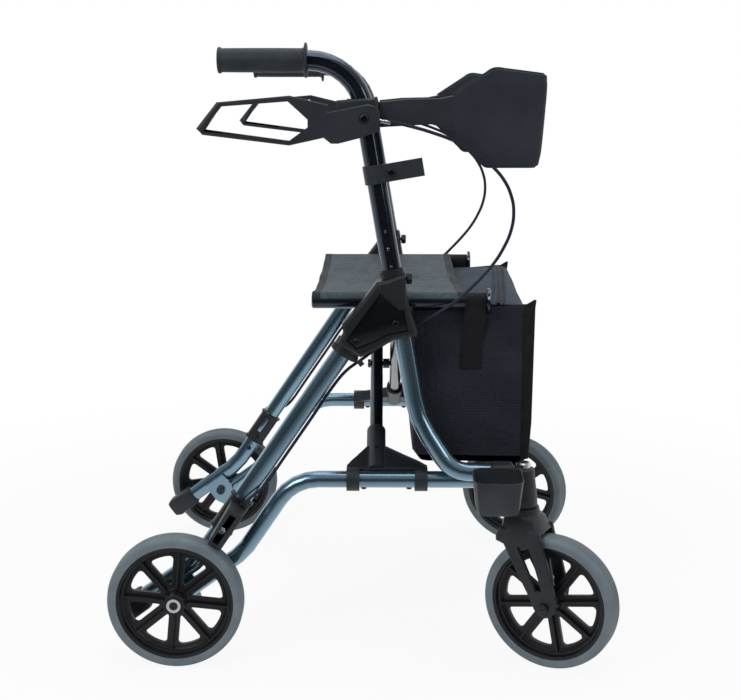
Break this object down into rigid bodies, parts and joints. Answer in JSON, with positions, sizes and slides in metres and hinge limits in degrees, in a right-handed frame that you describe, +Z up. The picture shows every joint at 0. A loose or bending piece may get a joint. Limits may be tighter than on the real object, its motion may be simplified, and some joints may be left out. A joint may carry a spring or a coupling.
{
  "type": "folding walker",
  "caption": "Folding walker with wheels, swivelling front casters, loop brake levers, sliding handles, a sling seat, a zipped bag and a padded back belt.",
  "frame": {"origin": "on the floor, under the middle of the walker's bounding box", "axes": "+Z up, +X forward from the grips towards the casters, +Y towards the walker's left side"},
  "size_m": [0.7464, 0.6687, 0.8997],
  "materials": {
    "blue_paint": "gloss metallic",
    "black_paint": "gloss",
    "black_plastic": "satin",
    "steel": "polished",
    "tyre_grey": "matte",
    "grip_rubber": "matte",
    "seat_cloth": "coated weave",
    "bag_cloth": "woven"
  },
  "bodies": {
    "frame_right": {"rear_leg_right": "blue_paint", "front_leg_right": "blue_paint", "lower_rail_right": "blue_paint", "hub_right": "black_plastic", "rear_sleeve_right": "black_plastic", "axle_carrier_right": "blue_paint", "kerb_pedal_right": "black_plastic", "caster_housing_right": "black_plastic", "rear_axle_right": "steel", "brake_cable_right": "black_plastic", "cane_cup": "black_plastic"},
    "frame_left": {"rear_leg_left": "blue_paint", "front_leg_left": "blue_paint", "lower_rail_left": "blue_paint", "hub_left": "black_plastic", "rear_sleeve_left": "black_plastic", "axle_carrier_left": "blue_paint", "kerb_pedal_left": "black_plastic", "caster_housing_left": "black_plastic", "rear_axle_left": "steel", "brake_cable_left": "black_plastic"},
    "brace_a": {"brace_a_foot": "black_plastic", "brace_a_tube": "black_paint", "seat_rail_left": "black_paint", "cross_bolt": "steel"},
    "brace_b": {"brace_b_foot": "black_plastic", "brace_b_tube": "black_paint", "seat_rail_right": "black_paint", "seat_sling": "seat_cloth"},
    "bag": {"bag": "bag_cloth"},
    "post_right": {"handle_post_right": "black_paint", "grip_right": "grip_rubber", "lever_bracket_right": "black_plastic", "backrest_arm_right": "black_plastic", "cane_clip": "black_plastic", "backrest_belt": "seat_cloth"},
    "lever_right": {"brake_lever_right": "black_plastic"},
    "shoe_right": {"brake_shoe_right": "black_plastic"},
    "knob_right": {"height_knob_right": "black_plastic"},
    "rear_wheel_right": {"rear_tyre_right": "tyre_grey", "rear_rim_right": "black_plastic"},
    "caster_right": {"caster_fork_right": "black_plastic", "stem_bolt_right": "steel", "front_axle_right": "steel"},
    "front_wheel_right": {"front_tyre_right": "tyre_grey", "front_rim_right": "black_plastic"},
    "post_left": {"handle_post_left": "black_paint", "grip_left": "grip_rubber", "lever_bracket_left": "black_plastic", "backrest_arm_left": "black_plastic"},
    "lever_left": {"brake_lever_left": "black_plastic"},
    "shoe_left": {"brake_shoe_left": "black_plastic"},
    "knob_left": {"height_knob_left": "black_plastic"},
    "rear_wheel_left": {"rear_tyre_left": "tyre_grey", "rear_rim_left": "black_plastic"},
    "caster_left": {"caster_fork_left": "black_plastic", "stem_bolt_left": "steel", "front_axle_left": "steel"},
    "front_wheel_left": {"front_tyre_left": "tyre_grey", "front_rim_left": "black_plastic"}
  },
  "joints": [
    {"name": "fold", "type": "hinge", "parent": "frame_right", "child": "brace_a", "pos_m": [0.031, -0.2316, 0.271], "axis": [1, 0, 0], "range_deg": [0, 40], "deforming": ["seat_sling", "bag", "backrest_belt"]},
    {"name": "cross_pivot", "type": "hinge", "parent": "brace_a", "child": "brace_b", "pos_m": [0.031, 0.0154, 0.39334], "axis": [1, 0, 0], "range_deg": [-80, 0]},
    {"name": "left_rail_pivot", "type": "hinge", "parent": "brace_b", "child": "frame_left", "pos_m": [0.031, 0.2624, 0.271], "axis": [1, 0, 0], "range_deg": [0, 40]},
    {"name": "bag_hang", "type": "hinge", "parent": "brace_b", "child": "bag", "pos_m": [0.031, -0.2059, 0.534], "axis": [1, 0, 0], "range_deg": [0, 40]},
    {"name": "post_slide_right", "type": "slide", "parent": "frame_right", "child": "post_right", "axis": [-0.1695, 0, 0.9855], "range_m": [-0.05, 0.025], "deforming": ["brake_cable_right"]},
    {"name": "lever_pivot_right", "type": "hinge", "parent": "post_right", "child": "lever_right", "pos_m": [0.005, -0.2506, 0.796], "axis": [0, 1, 0], "range_deg": [0, 8], "stiffness_Nm_per_rad": 2.5, "springref_deg": -11.46},
    {"name": "shoe_slide_right", "type": "slide", "parent": "frame_right", "child": "shoe_right", "axis": [-0.5621, 0, -0.8271], "range_m": [0, 0.003]},
    {"name": "knob_turn_right", "type": "hinge", "parent": "frame_right", "child": "knob_right", "pos_m": [0.06321, -0.2336, 0.571], "axis": [1, 0, 0], "continuous": true},
    {"name": "rear_spin_right", "type": "hinge", "parent": "frame_right", "child": "rear_wheel_right", "pos_m": [-0.272, -0.27835, 0.1], "axis": [0, 1, 0], "continuous": true},
    {"name": "caster_swivel_right", "type": "hinge", "parent": "frame_right", "child": "caster_right", "pos_m": [0.237, -0.2556, 0.239], "axis": [0, 0, 1], "continuous": true},
    {"name": "front_spin_right", "type": "hinge", "parent": "caster_right", "child": "front_wheel_right", "pos_m": [0.27977, -0.27739, 0.1], "axis": [0.454, 0.891, 0], "continuous": true},
    {"name": "post_slide_left", "type": "slide", "parent": "frame_left", "child": "post_left", "axis": [-0.1695, 0, 0.9855], "range_m": [-0.05, 0.025], "deforming": ["brake_cable_left"]},
    {"name": "lever_pivot_left", "type": "hinge", "parent": "post_left", "child": "lever_left", "pos_m": [0.005, 0.2814, 0.796], "axis": [0, 1, 0], "range_deg": [0, 8], "stiffness_Nm_per_rad": 2.5, "springref_deg": -11.46},
    {"name": "shoe_slide_left", "type": "slide", "parent": "frame_left", "child": "shoe_left", "axis": [-0.5621, 0, -0.8271], "range_m": [0, 0.003]},
    {"name": "knob_turn_left", "type": "hinge", "parent": "frame_left", "child": "knob_left", "pos_m": [0.06321, 0.2644, 0.571], "axis": [1, 0, 0], "continuous": true},
    {"name": "rear_spin_left", "type": "hinge", "parent": "frame_left", "child": "rear_wheel_left", "pos_m": [-0.272, 0.30915, 0.1], "axis": [0, 1, 0], "continuous": true},
    {"name": "caster_swivel_left", "type": "hinge", "parent": "frame_left", "child": "caster_left", "pos_m": [0.237, 0.2864, 0.239], "axis": [0, 0, 1], "continuous": true},
    {"name": "front_spin_left", "type": "hinge", "parent": "caster_left", "child": "front_wheel_left", "pos_m": [0.27977, 0.26461, 0.1], "axis": [0.454, 0.891, 0], "continuous": true}
  ],
  "couplings": [
    {"joint": "cross_pivot", "follows": "fold", "ratio": -2},
    {"joint": "left_rail_pivot", "follows": "fold", "ratio": 1},
    {"joint": "bag_hang", "follows": "fold", "ratio": 1},
    {"joint": "shoe_slide_right", "follows": "lever_pivot_right", "m_per_rad": 0.0214},
    {"joint": "shoe_slide_left", "follows": "lever_pivot_left", "m_per_rad": 0.0214}
  ]
}
